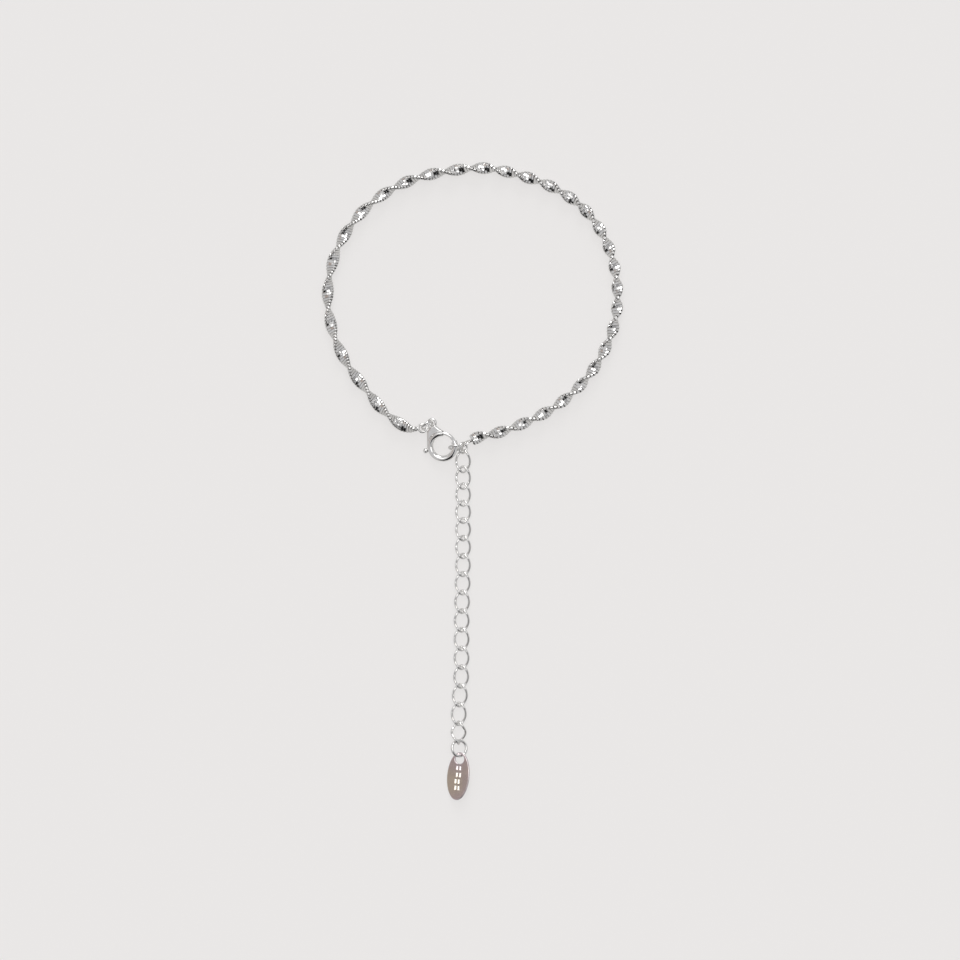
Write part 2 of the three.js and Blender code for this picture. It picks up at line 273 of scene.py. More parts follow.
class Shader:
    """Adds nodes to one node tree."""

    def __init__(self, tree):
        self.tree = tree
        tree.nodes.clear()

    def node(self, kind, settings=None, inputs=None, output=0):
        """One node: its settings are set first, then its sockets get values or links."""
        node = self.tree.nodes.new(kind)
        for name, value in (settings or {}).items():
            setattr(node, name, value)
        for name, value in (inputs or {}).items():
            if isinstance(value, Number):
                self.tree.links.new(value.socket, node.inputs[name])
            else:
                node.inputs[name].default_value = value
        return Number(self, node.outputs[output]) if node.outputs else None

    def mix(self, factor, first, second):
        """One colour turning into another."""
        return self.node("ShaderNodeMix", {"data_type": "RGBA"},
                         {MIX_FACTOR: factor, MIX_A: first, MIX_B: second}, MIX_RESULT)

    def noise(self, place, scale, detail=2.0):
        """Soft noise from nought to one; scale counts its spots in a metre."""
        return self.node("ShaderNodeTexNoise", {"noise_dimensions": "3D"},
                         {"Vector": place, "Scale": scale, "Detail": detail})

    def spread(self, value, low, high):
        """The part of a value between two levels, brought to nought to one."""
        return self.node("ShaderNodeMapRange", {"interpolation_type": "SMOOTHSTEP"},
                         {"Value": value, "From Min": low, "From Max": high})


def with_alpha(rgb):
    """A colour as a socket takes it."""
    return (*rgb, 1.0)


def scaled(rgb, factor):
    """A colour made lighter or darker."""
    return tuple(part * factor for part in rgb)


def silver_material(name, settings, shade, tarnish, grain, second=None):
    """Polished silver with drawing marks, handling marks and a little tarnish.

    Where there is a second colour, the metal drifts to it in broad patches."""
    material = bpy.data.materials.new(name)
    material.use_nodes = True
    shader = Shader(material.node_tree)
    place = shader.node("ShaderNodeTexCoord", output="Object")
    cloud = shader.spread(shader.noise(place, 420.0, 3.0), 0.35, 0.70)
    specks = shader.spread(shader.noise(place, 5200.0, 4.0), 0.50, 0.80)
    scratches = shader.noise(shader.node(
        "ShaderNodeMapping", {"vector_type": "POINT"},
        {"Vector": place, "Rotation": (0.3, 0.5, 0.9), "Scale": (1.0, 9.0, 3.0)}), 2600.0, 3.0)
    clean = with_alpha(settings.metal)
    if second:
        drift = shader.spread(shader.noise(place, 160.0, 1.0), 0.40, 0.60)
        clean = shader.mix(drift, clean, with_alpha(second))
    dull = with_alpha(scaled(settings.metal, shade))
    base = shader.mix(cloud * (tarnish * 0.7) + specks * (tarnish * 0.5), clean, dull)
    rough = cloud * 0.05 + specks * 0.10 + scratches * 0.06 + (settings.roughness - 0.03)
    bump = shader.node("ShaderNodeBump", {}, {
        "Strength": grain, "Distance": 0.02 * MM, "Height": scratches + specks * 0.5})
    bsdf = shader.node("ShaderNodeBsdfPrincipled", {}, {
        "Base Color": base, "Metallic": 1.0, "Roughness": rough, "Normal": bump})
    shader.node("ShaderNodeOutputMaterial", {}, {"Surface": bsdf})
    return material


def painted_shade_material(name, settings):
    """Dark silver as painted shade between the chain's links, darker and duller in patches."""
    material = bpy.data.materials.new(name)
    material.use_nodes = True
    shader = Shader(material.node_tree)
    place = shader.node("ShaderNodeTexCoord", output="Object")
    patches = shader.spread(shader.noise(place, 3000.0, 3.0), 0.35, 0.65)
    base = shader.mix(patches, with_alpha(settings.heart),
                      with_alpha(scaled(settings.heart, 0.45)))
    bsdf = shader.node("ShaderNodeBsdfPrincipled", {}, {
        "Base Color": base, "Metallic": 1.0, "Roughness": patches * 0.2 + 0.35})
    shader.node("ShaderNodeOutputMaterial", {}, {"Surface": bsdf})
    return material


# ---------------------------------------------------------------------------------------
# Meshes
# ---------------------------------------------------------------------------------------


def grid_faces(stations, sides, closed, start=0):
    """The faces of a tube of rings of points, one ring for each station."""
    last = stations if closed else stations - 1
    faces = []
    for i in range(last):
        here, there = start + i * sides, start + (i + 1) % stations * sides
        for k in range(sides):
            after = (k + 1) % sides
            faces.append((here + k, here + after, there + after, there + k))
    if not closed:
        end = start + (stations - 1) * sides
        faces.append(tuple(start + k for k in reversed(range(sides))))
        faces.append(tuple(end + k for k in range(sides)))
    return faces


def carried_frames(path, closed):
    """Two directions across a path at each point, turning as little as they can."""
    path = np.asarray(path, float)
    if closed:
        tangents = np.roll(path, -1, 0) - np.roll(path, 1, 0)
    else:
        tangents = np.gradient(path, axis=0)
    tangents /= np.linalg.norm(tangents, axis=1)[:, None]
    normal = np.cross(tangents[0], (0.31, 0.17, 0.93))
    normals = []
    for tangent in tangents:
        normal = normal - tangent * normal.dot(tangent)
        normal = normal / np.linalg.norm(normal)
        normals.append(normal)
    normals = np.array(normals)
    if closed:
        last = normals[-1] - tangents[0] * normals[-1].dot(tangents[0])
        across = np.cross(tangents[0], normals[0])
        slip = math.atan2(last.dot(across), last.dot(normals[0]))
        ease = -slip * np.arange(len(path)) / len(path)
        side = np.cross(tangents, normals)
        normals = np.cos(ease)[:, None] * normals + np.sin(ease)[:, None] * side
    return normals, np.cross(tangents, normals)


def wire(path, radii, sides, closed=True):
    """Round wire along a path; radii is one radius, or one for each point."""
    path = np.asarray(path, float)
    radii = np.broadcast_to(np.asarray(radii, float), len(path))
    normals, sideways = carried_frames(path, closed)
    angles = np.arange(sides) * 2 * math.pi / sides
    points = (path[:, None]
              + radii[:, None, None] * np.cos(angles)[None, :, None] * normals[:, None]
              + radii[:, None, None] * np.sin(angles)[None, :, None] * sideways[:, None])
    return points.reshape(-1, 3), grid_faces(len(path), sides, closed)


def joined(parts):
    """Several sets of points and faces as one."""
    points, faces, start = [], [], 0
    for more, rings in parts:
        points.append(more)
        faces.extend(tuple(start + i for i in face) for face in rings)
        start += len(more)
    return np.vstack(points), faces


def shell(parts, matrix=None):
    """A mesh, still in millimetres, whose faces all look outwards."""
    points, faces = joined(parts)
    mesh = bpy.data.meshes.new("shell")
    mesh.from_pydata([tuple(point) for point in points], [], faces)
    if matrix is not None:
        mesh.transform(matrix)
    work = bmesh.new()
    work.from_mesh(mesh)
    bmesh.ops.recalc_face_normals(work, faces=work.faces)
    work.to_mesh(mesh)
    work.free()
    return mesh


def scratch(mesh):
    """A passing object for a mesh, so that modifiers can work on it."""
    thing = bpy.data.objects.new("scratch", mesh)
    bpy.context.scene.collection.objects.link(thing)
    return thing


def baked(thing):
    """The mesh that an object's modifiers give; the object goes."""
    bpy.context.view_layer.update()
    graph = bpy.context.evaluated_depsgraph_get()
    mesh = bpy.data.meshes.new_from_object(thing.evaluated_get(graph))
    bpy.data.objects.remove(thing)
    return mesh


def melted(mesh, voxel, smoothing):
    """Overlapping shells run together, with soft fillets where they meet."""
    thing = scratch(mesh)
    remesh = thing.modifiers.new("melt", "REMESH")
    remesh.mode = "VOXEL"
    remesh.voxel_size = voxel
    soften = thing.modifiers.new("soften", "SMOOTH")
    soften.factor = 0.5
    soften.iterations = smoothing
    return baked(thing)


def cut_away(mesh, cutters):
    """A mesh with other closed meshes cut out of it."""
    thing = scratch(mesh)
    tools = [scratch(cutter) for cutter in cutters]
    for tool in tools:
        cut = thing.modifiers.new("cut", "BOOLEAN")
        cut.operation = "DIFFERENCE"
        cut.solver = "EXACT"
        cut.object = tool
    result = baked(thing)
    for tool in tools:
        bpy.data.objects.remove(tool)
    return result


def plate(outline, hole, half_thickness, bevel, steps):
    """A flat plate with rounded edges from an outline and perhaps a hole."""
    curve = bpy.data.curves.new("plate", "CURVE")
    curve.dimensions = "2D"
    curve.fill_mode = "BOTH"
    curve.extrude = half_thickness - bevel
    curve.bevel_depth = bevel
    curve.bevel_resolution = steps
    for ring in (outline, hole):
        if ring:
            spline = curve.splines.new("POLY")
            spline.points.add(len(ring) - 1)
            for point, (x, y) in zip(spline.points, ring):
                point.co = (x, y, 0.0, 1.0)
            spline.use_cyclic_u = True
    return baked(scratch(curve))


def merged(mesh, distance):
    """A mesh whose touching points are made one."""
    work = bmesh.new()
    work.from_mesh(mesh)
    bmesh.ops.remove_doubles(work, verts=work.verts, dist=distance)
    bmesh.ops.recalc_face_normals(work, faces=work.faces)
    work.to_mesh(mesh)
    work.free()
    return mesh


def piece(name, mesh, material, body, node, crease=35.0):
    """A finished object in metres that rides on a body and stands for a node."""
    mesh.transform(Matrix.Scale(MM, 4))
    mesh.name = name
    mesh.materials.clear()
    mesh.materials.append(material)
    mesh.shade_smooth()
    mesh.set_sharp_from_angle(angle=math.radians(crease))
    thing = bpy.data.objects.new(name, mesh)
    bpy.context.scene.collection.objects.link(thing)
    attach(thing, body)
    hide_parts(node)
    return thing


def node_centre(node):
    """The middle of a node's box, in millimetres."""
    low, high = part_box(node)
    return (low + high) / 2 / MM


def put_on_node(mesh, node):
    """Moves a mesh so that the middle of its box is the middle of the node's."""
    points = np.array([vertex.co for vertex in mesh.vertices])
    middle = Vector((points.min(0) + points.max(0)) / 2)
    mesh.transform(Matrix.Translation(node_centre(node) - middle))
    return mesh


def turned(bearing, tilt):
    """A turn about X by the tilt, then about Z by the bearing."""
    return Matrix.Rotation(math.radians(bearing), 4, "Z") @ Matrix.Rotation(
        math.radians(tilt), 4, "X")


def circle(radius, count, begin=0.0, end=360.0, closed=True):
    """Points round Z on the level plane."""
    angles = np.radians(np.linspace(begin, end, count, endpoint=not closed))
    return np.stack([radius * np.cos(angles), radius * np.sin(angles), 0 * angles], 1)


# ---------------------------------------------------------------------------------------
# The twisted chain
# ---------------------------------------------------------------------------------------


class ChainRoute:
    """The chain's middle line with the turning directions across it."""

    def __init__(self):
        bearings = np.radians([bearing for bearing, _ in CHAIN_ROUTE])
        radii = np.array([radius for _, radius in CHAIN_ROUTE])
        marks = np.stack([radii * np.cos(bearings), radii * np.sin(bearings),
                          np.full(len(radii), CHAIN_HEIGHT)], 1) + np.array(LOOP_MIDDLE)
        self.points = self.smooth(marks)
        steps = np.linalg.norm(np.diff(self.points, axis=0), axis=1)
        self.places = np.concatenate([[0.0], np.cumsum(steps)])
        self.length = self.places[-1]
        self.tangents = np.gradient(self.points, self.places, axis=0)

    @staticmethod
    def smooth(marks, steps=150):
        """A centripetal Catmull-Rom curve through the marks."""
        marks = np.vstack([2 * marks[0] - marks[1], marks, 2 * marks[-1] - marks[-2]])
        t = np.linspace(0, 1, steps, endpoint=False)[:, None]
        pieces = []
        for i in range(1, len(marks) - 2):
            p0, p1, p2, p3 = marks[i - 1:i + 3]
            a, b, c = (math.sqrt(np.linalg.norm(q - p))
                       for p, q in ((p0, p1), (p1, p2), (p2, p3)))
            leave = b * ((p1 - p0) / a - (p2 - p0) / (a + b) + (p2 - p1) / b)
            reach = b * ((p2 - p1) / b - (p3 - p1) / (b + c) + (p3 - p2) / c)
            pieces.append(p1 + leave * t + (3 * (p2 - p1) - 2 * leave - reach) * t ** 2
                          + (2 * (p1 - p2) + leave + reach) * t ** 3)
        return np.vstack([*pieces, marks[-2][None]])

    def across(self, table, places):
        """A table of vectors, one for each point of the route, read at some places."""
        return np.stack([np.interp(places, self.places, table[:, k]) for k in range(3)], -1)

    def at(self, places):
        """The middle line and the two directions across it at some places along it."""
        held = np.clip(places, 0.0, self.length)
        tangent = self.across(self.tangents, held)
        tangent /= np.linalg.norm(tangent, axis=-1)[..., None]
        middle = self.across(self.points, held) + (places - held)[..., None] * tangent
        turn = math.pi * np.interp(places, TURN_PLACES, HALF_TURNS)
        left = np.stack([-tangent[..., 1], tangent[..., 0], 0 * turn], -1)
        left /= np.linalg.norm(left, axis=-1)[..., None]
        up = np.array((0.0, 0.0, 1.0))
        broad = np.cos(turn)[..., None] * left + np.sin(turn)[..., None] * up
        return middle, broad, np.cross(tangent, broad)

    def place(self, places, x, y):
        """Points given by a place along the chain and two distances across it."""
        middle, broad, face = self.at(places)
        return middle + x[..., None] * broad + y[..., None] * face


# The links: where the first sits and how far the last stays from the chain's end, how far
# across the chain a bar starts to turn into its end and over what share, and the random tilt
# in degrees and width of each.
FIRST_LINK = 0.30
LAST_LINK_ROOM = 0.25
LINK_POINTS = 36
END_STARTS = 0.55
END_SPREAD = 0.40
LINK_TILT = 2
LINK_WIDTHS = (0.97, 1.0)

# A bar's section as shares of its half sizes, on a face and, as a change, at its end: how far
# its flats reach and how high its shoulders stand.
FLAT, FLAT_AT_END = 0.86, -0.24
SHOULDER, SHOULDER_AT_END = 0.62, -0.30

# The heart: its steps along the chain, and how far it stays inside the links.
HEART_STEP = 0.25
HEART_ENDS = 0.1
HEART_INSET_X, HEART_INSET_Y = 0.10, 0.06


def rounded_box(half_width, half_depth, count, power=3.8):
    """Points and outward directions round a soft-cornered box."""
    angles = (np.arange(count) + 0.5) * 2 * math.pi / count
    cosine, sine = np.cos(angles), np.sin(angles)
    x = half_width * np.sign(cosine) * np.abs(cosine) ** (2 / power)
    y = half_depth * np.sign(sine) * np.abs(sine) ** (2 / power)
    out_x = np.sign(x) * np.abs(x / half_width) ** (power - 1) / half_width
    out_y = np.sign(y) * np.abs(y / half_depth) ** (power - 1) / half_depth
    size = np.hypot(out_x, out_y)
    return x, y, out_x / size, out_y / size


def link_places(settings, route):
    """Where the links sit along the chain, from close to a little wider."""
    places, place = [], FIRST_LINK
    while place < route.length - LAST_LINK_ROOM:
        places.append(place)
        done = place / route.length
        place += (settings.first_pitch * (1 - done) + settings.last_pitch * done) / MM
    return np.array(places)


def chain_links(settings, route):
    """Every link of the chain: a flat bar bent round it, slanting opposite ways on its faces.

    The bars lie close together on the faces and narrow to rounded ends at the edges."""
    chance = random.Random(7)
    places = link_places(settings, route)
    a, b = settings.half_width / MM, settings.half_depth / MM
    x, y, out_x, out_y = rounded_box(a, b, LINK_POINTS)
    slant = -settings.slant / MM * (x / a) * (y / b)
    end = np.clip((np.abs(x) / a - END_STARTS) / END_SPREAD, 0.0, 1.0)
    end = end * end * (3 - 2 * end)
    deep = (settings.face_depth * (1 - end) + settings.end_depth * end) / MM / 2
    fill = settings.face_share * (1 - end) + settings.end_share * end
    spacing = np.gradient(places)[:, None, None]
    soft = end[None, :, None]
    flat = FLAT + FLAT_AT_END * soft
    shoulder = SHOULDER + SHOULDER_AT_END * soft
    one = 1 + 0 * soft
    along = np.concatenate((-one, -one, -flat, flat, one, one, flat, -flat), axis=2)
    out = np.concatenate((-shoulder, shoulder, one, one, shoulder, -shoulder, -one, -one), axis=2)
    tilt = np.radians([chance.uniform(-LINK_TILT, LINK_TILT) for _ in places])[:, None, None]
    width = np.array([chance.uniform(*LINK_WIDTHS) for _ in places])[:, None, None]
    s = (places[:, None, None] + slant[None, :, None]
         + spacing / 2 * fill[None, :, None] * along)
    px = width * (x[None, :, None] + (out_x * deep)[None, :, None] * out)
    py = y[None, :, None] + (out_y * deep)[None, :, None] * out
    points = route.place(s, np.cos(tilt) * px - np.sin(tilt) * py,
                         np.sin(tilt) * px + np.cos(tilt) * py)
    count, stations, sides = s.shape
    faces = []
    for i in range(count):
        faces.extend(grid_faces(stations, sides, True, i * stations * sides))
    return points.reshape(-1, 3), faces


def chain_core(settings, route):
    """The flat heart of the chain that closes the gaps between its links."""
    s = np.arange(HEART_ENDS, route.length - HEART_ENDS, HEART_STEP)[:, None]
    a, b = settings.half_width / MM - HEART_INSET_X, settings.half_depth / MM - HEART_INSET_Y
    corners_x = np.array((a, a, -a, -a))[None, :] + 0 * s
    corners_y = np.array((-b, b, b, -b))[None, :] + 0 * s
    points = route.place(s + 0 * corners_x, corners_x, corners_y)
    return points.reshape(-1, 3), grid_faces(len(s), 4, False)


def end_loop(route, middle, lean, end):
    """A soldered wire loop with its tapering neck, at one end of the chain."""
    centre = np.array(LOOP_MIDDLE) + middle
    tip = route.points[end]
    along = (tip - centre) / np.linalg.norm(tip - centre)
    level = np.array((-along[1], along[0], 0.0))
    level /= np.linalg.norm(level)
    raised = np.cross(along, level)
    side = math.cos(math.radians(lean)) * level + math.sin(math.radians(lean)) * raised
    ring = circle(END_LOOP_RADIUS, 40)
    path = centre + ring[:, :1] * along + ring[:, 1:2] * side
    reach = np.linalg.norm(tip - centre) - END_LOOP_RADIUS + NECK_IN_CHAIN
    steps = np.array(NECK_STEPS)
    start = centre + (END_LOOP_RADIUS - NECK_IN_LOOP) * along
    neck = start + steps[:, None] * (reach + NECK_IN_LOOP) * along
    return [wire(path, END_LOOP_WIRE, 14), wire(neck, NECK_RADII, 14, closed=False)]


class BRACELET_OT_chain(Operator):
    """Make the twisted serpentine chain with its soldered end loops"""

    bl_idname = "bracelet.chain"
    bl_label = "Twisted chain"

    def execute(self, context):
        settings = context.scene.bracelet_chain
        route = ChainRoute()
        heart = chain_core(settings, route)
        parts = [heart, chain_links(settings, route)]
        for middle, lean, end in END_LOOPS:
            parts.extend(end_loop(route, middle, lean, end))
        metal = silver_material("polished_chain_silver", settings, 0.62, 0.5, 0.06)
        thing = piece("serpentine_chain", shell(parts), metal, "root", "twisted_chain", 28.0)
        # The heart gets painted shade, a dark silver for the shade between the links.
        thing.data.materials.append(painted_shade_material("heart_painted_shade_silver", settings))
        for face in thing.data.polygons[:len(heart[1])]:
            face.material_index = 1
        return {"FINISHED"}


# ---------------------------------------------------------------------------------------
# The spring-ring clasp
# ---------------------------------------------------------------------------------------


def clasp_frame():
    """The place and the turn of the clasp's own frame."""
    return Matrix.Translation(CLASP_CENTRE) @ turned(EYELET_BEARING, CLASP_ROLL)


def arc_bar(radius, thickness, begin, end, sides=24):
    """Closed round bar on an arc about Z."""
    count = max(4, int(abs(end - begin) / ARC_STEP))
    return wire(circle(radius, count, begin, end, closed=False), thickness, sides, closed=False)


def ring_slice(inner, outer, begin, end, height):
    """A flat slice of a ring about Z, between two bearings."""
    count = max(3, int(abs(end - begin) / ARC_STEP))
    near = circle(inner, count, begin, end, closed=False)
    far = circle(outer, count, begin, end, closed=False)
    lift = np.array((0.0, 0.0, height / 2))
    rings = np.stack([near - lift, far - lift, far + lift, near + lift], 1)
    return rings.reshape(-1, 3), grid_faces(count, 4, False)


def web_points(settings):
    """The outline of the web between the ring and its eyelet."""
    inner = circle(settings.ring_radius / MM, 12, *WEB_ARC, closed=False)
    return [*WEB_OUTLINE, *((x, y) for x, y, _ in inner)]


def clasp_shell(settings):
    """The ring, its web and its eyelet as one soldered piece, before it is cut."""
    ring = shell([wire(circle(settings.ring_radius / MM, 96), settings.tube_radius / MM, 32)])
    eyelet = shell([wire(circle(settings.eyelet_radius / MM, 40), settings.eyelet_wire / MM, 18)],
                   Matrix.Translation((settings.eyelet_distance / MM, 0, 0)))
    web = merged(plate(web_points(settings), None, settings.web_thickness / MM / 2,
                       settings.web_bevel / MM, 4), TOUCHING)
    work = bmesh.new()
    for mesh in (ring, eyelet, web):
        work.from_mesh(mesh)
    together = bpy.data.meshes.new("clasp")
    work.to_mesh(together)
    work.free()
    return melted(together, CLASP_MELT, 4)


class BRACELET_OT_clasp(Operator):
    """Make the spring ring and the bolt that slides in it"""

    bl_idname = "bracelet.clasp"
    bl_label = "Spring-ring clasp"

    def execute(self, context):
        settings = context.scene.bracelet_clasp
        radius, bore = settings.ring_radius / MM, settings.bore_radius / MM
        cutters = [
            shell([ring_slice(radius - CUT_REACH, radius + CUT_REACH, *GATE, GATE_HEIGHT)]),
            shell([arc_bar(radius, bore, GATE[1] - BORE_OVERLAP, BORE_END)]),
            shell([arc_bar(radius, bore, SOCKET_END, GATE[0] + BORE_OVERLAP)]),
            shell([ring_slice(radius, radius + CUT_REACH, *SLOT, SLOT_HEIGHT)]),
        ]
        body = cut_away(clasp_shell(settings), cutters)
        body.transform(clasp_frame())
        metal = silver_material("polished_clasp_silver", settings, 0.66, 0.35, 0.03)
        piece("spring_ring", body, metal, "root", "clasp_body", 40.0)
        piece("spring_bolt", self.bolt(settings), metal, "bolt", "clasp_bolt", 50.0)
        return {"FINISHED"}

    def bolt(self, settings):
        """A bent bar with a rounded tip, a stem and a ball knob."""
        radius = settings.ring_radius / MM
        bearing = math.radians(KNOB_BEARING)
        outwards = np.array((math.cos(bearing), math.sin(bearing), 0.0))
        knob = settings.knob_distance / MM
        turns = np.linspace(-BALL_ANGLE, BALL_ANGLE, 13)
        ball = outwards * knob + np.sin(turns)[:, None] * outwards * settings.knob_radius / MM
        stem = outwards * np.linspace(radius, knob, 8)[:, None]
        count = 60
        bar = circle(radius, count, BOLT_TIP, BOLT_TAIL, closed=False)
        taper = np.full(count, settings.bolt_radius / MM)
        taper[:3] *= TAPER
        taper[-3:] *= TAPER[::-1]
        parts = [wire(bar, taper, 20, closed=False),
                 wire(stem, STEM_RADIUS, 16, closed=False),
                 wire(ball, np.cos(turns) * settings.knob_radius / MM, 24, closed=False)]
        mesh = melted(shell(parts), BOLT_MELT, 6)
        mesh.transform(clasp_frame())
        return mesh


# ---------------------------------------------------------------------------------------
# The rings and the extender
# ---------------------------------------------------------------------------------------


SEAM_WAIST = 0.86


def seamed(count, radius, seam):
    """Wire radii round a ring with a fine closing seam at one point."""
    radii = np.full(count, radius)
    radii[seam] *= SEAM_WAIST
    return radii


def twisted_oval(settings, top, bottom, count=72):
    """The middle line of an oval link whose ends are turned opposite ways about Y."""
    angle = np.arange(count) * 2 * math.pi / count
    along = np.sin(angle)
    twist = np.radians(-bottom + (top + bottom) * (along + 1) / 2)
    across = settings.half_width / MM * np.cos(angle)
    return np.stack([across * np.cos(twist), settings.half_length / MM * along,
                     across * np.sin(twist)], 1)


class BRACELET_OT_rings(Operator):
    """Make the four round rings that join the chain, the clasp, the extender and the tag"""

    bl_idname = "bracelet.rings"
    bl_label = "Round rings"

    def execute(self, context):
        settings = context.scene.bracelet_wire
        metal = silver_material("drawn_wire_silver", settings, 0.62, 0.4, 0.05)
        for node, (bearing, tilt, radius, thick) in RINGS.items():
            path = circle(radius, 64)
            parts = [wire(path, seamed(64, thick, 9), settings.sides)]
            mesh = put_on_node(shell(parts, turned(bearing, tilt)), node)
            piece(node + "_wire", mesh, metal, "root", node)
        return {"FINISHED"}


# How far a link's ends are turned about Y: every link, the first at its top, the last at its
# top and bottom.
LINK_TWIST = 45
FIRST_TOP_TWIST = 48.5
LAST_TWISTS = (79.5, 88.2)


class BRACELET_OT_extender(Operator):
    """Make the extender's sixteen curb links"""

    bl_idname = "bracelet.extender"
    bl_label = "Extender links"

    def execute(self, context):
        settings = context.scene.bracelet_wire
        metal = bpy.data.materials["drawn_wire_silver"]
        nodes = sorted(name for name in frame["nodes"] if name.startswith("extender_link_"))
        centres = [node_centre(node) for node in nodes]
        for i, node in enumerate(nodes):
            top, bottom = LINK_TWIST, LINK_TWIST
            if i == 0:
                top = FIRST_TOP_TWIST
            if i == len(nodes) - 1:
                top, bottom = LAST_TWISTS
            down = centres[min(i + 1, len(nodes) - 1)] - centres[max(i - 1, 0)]
            lean = Matrix.Rotation(math.atan2(down.x, -down.y), 4, "Z")
            path = twisted_oval(settings, top, bottom)
            radii = seamed(len(path), settings.link_wire / MM, 3)
            mesh = put_on_node(shell([wire(path, radii, settings.sides)], lean), node)
            piece(node.replace("extender_link", "curb_link"), mesh, metal, "root", node)
        return {"FINISHED"}


# ---------------------------------------------------------------------------------------
# The oval tag
# ---------------------------------------------------------------------------------------

# How the tag lies: turns about Z, X and Y.
TAG_LEAN, TAG_PITCH, TAG_ROLL = -5.4, 0.5, -25.3

# Each row of marks is a pair of punched slots: the middle of the pair on the tag's face.
MARK_ROWS = ((0.02, 1.45), (0.10, 0.28), (-0.05, -0.85), (0.03, -1.98))
MARK_LENGTH = 0.80
MARK_WIDTH = 0.36
MARK_SPACING = 0.60
MARK_CLEARANCE = 0.05

OUTLINE_STEP = 2.5
TAG_MELT = 0.038


def punched_mark(x, y, depth, top):
    """What a mark takes away: its floor slopes from one long side down to the other."""
    left, right = x - MARK_WIDTH / 2, x + MARK_WIDTH / 2
    above = top + MARK_CLEARANCE
    rows = []
    for end in (y - MARK_LENGTH / 2, y + MARK_LENGTH / 2):
        rows += [(left, end, top), (right, end, top - depth), (right, end, above),
                 (left, end, above)]
    return np.array(rows), grid_faces(2, 4, False)


class BRACELET_OT_tag(Operator):
    """Make the oval tag with its hole and its rows of punched marks"""

    bl_idname = "bracelet.tag"
    bl_label = "Oval tag"

    def execute(self, context):
        settings = context.scene.bracelet_tag
        edge, half = settings.edge / MM, settings.thickness / MM / 2
        angles = np.radians(np.arange(0, 360, OUTLINE_STEP))
        wide, tall = settings.width / MM / 2 - edge, settings.height / MM / 2 - edge
        outline = [(wide * math.cos(a), tall * math.sin(a)) for a in angles]
        hole_y = (settings.height / 2 - settings.hole_from_top) / MM
        bore = settings.hole_radius / MM + edge
        hole = [(bore * math.cos(-a), hole_y + bore * math.sin(-a)) for a in angles[::3]]
        mesh = merged(plate(outline, hole, half, edge, 4), TOUCHING)
        depth = settings.punch_depth / MM
        punches = [shell([punched_mark(x + side * MARK_SPACING / 2, y, depth, half)])
                   for x, y in MARK_ROWS for side in (-1, 1)]
        mesh = melted(cut_away(mesh, punches), TAG_MELT, 1)
        mesh.transform(Matrix.Rotation(math.radians(TAG_LEAN), 4, "Z")
                       @ Matrix.Rotation(math.radians(TAG_PITCH), 4, "X")
                       @ Matrix.Rotation(math.radians(TAG_ROLL), 4, "Y"))
        put_on_node(mesh, "tag")
        metal = silver_material("pressed_tag_silver", settings, 0.72, 0.7, 0.05,
                                settings.second_metal)
        piece("oval_tag", mesh, metal, "root", "tag", 50.0)
        return {"FINISHED"}


# ---------------------------------------------------------------------------------------
# The stage
# ---------------------------------------------------------------------------------------

# Cards of light and dark round the scene, which the silver mirrors: a name, the way to the
# card's middle, how many degrees from it the card is full and where it ends, its colour and its
# strength. A later card covers an earlier one. The right window lights the tag's marks.
SKY = (0.56, 0.56, 0.57)
BACKDROP = (0.80, 0.79, 0.78)
CARDS = (
    ("grey_right", (0.55, 0.0, 0.83), 16, 28, (0.33, 0.33, 0.34), 1.0),
    ("taupe_left", (-0.78, 0.03, 0.62), 13, 20, (0.42, 0.365, 0.34), 1.0),
    ("dark_far", (0.0, 0.80, 0.60), 12, 20, (0.13, 0.13, 0.135), 1.0),
    ("black_near", (0.0, -0.60, 0.80), 16, 24, (0.015, 0.015, 0.016), 1.0),
    ("black_low", (0.0, -0.98, 0.20), 26, 36, (0.015, 0.015, 0.016), 1.0),
    ("window_left", (-0.42, 0.14, 0.90), 8, 13, (1.0, 1.0, 1.0), 1.7),
    ("window_right", (0.34, 0.05, 0.94), 9, 12, (1.0, 1.0, 1.0), 2.6),
    ("softbox", (-0.08, 0.45, 0.89), 10, 15, (1.0, 0.995, 0.98), 2.8),
)

# The floor's half side in metres, and how far it lies under the bracelet in millimetres.
FLOOR_HALF_SIDE = 1.5
FLOOR_DROP = 0.02

# The lamp: its strength, and in degrees its width and its tilt from overhead.
SUN_STRENGTH = 1.0
SUN_WIDTH = 24
SUN_TILT = -62

# The camera: the width of its sensor, and the place on the floor under it.
SENSOR_WIDTH = 36
VIEW_MIDDLE = (1.303, 0.198)


def camera_sees(shader):
    """One where the camera looks straight at something, nought in the silver's reflections."""
    return shader.node("ShaderNodeLightPath", output="Is Camera Ray")


def sky():
    """The studio round the scene, with a plain pale backdrop behind it."""
    world = bpy.data.worlds.new("studio")
    world.use_nodes = True
    shader = Shader(world.node_tree)
    way = shader.node("ShaderNodeTexCoord", output="Generated")
    light = with_alpha(SKY)
    for _, middle, full, end, tint, strength in CARDS:
        towards = shader.node("ShaderNodeVectorMath", {"operation": "DOT_PRODUCT"},
                              {0: way, 1: Vector(middle).normalized()}, "Value")
        mask = shader.spread(towards, math.cos(math.radians(end)), math.cos(math.radians(full)))
        light = shader.mix(mask, light, with_alpha(scaled(tint, strength)))
    light = shader.mix(camera_sees(shader), light, with_alpha(BACKDROP))
    background = shader.node("ShaderNodeBackground", {}, {"Color": light, "Strength": 1.0})
    shader.node("ShaderNodeOutputWorld", {}, {"Surface": background})
    bpy.context.scene.world = world


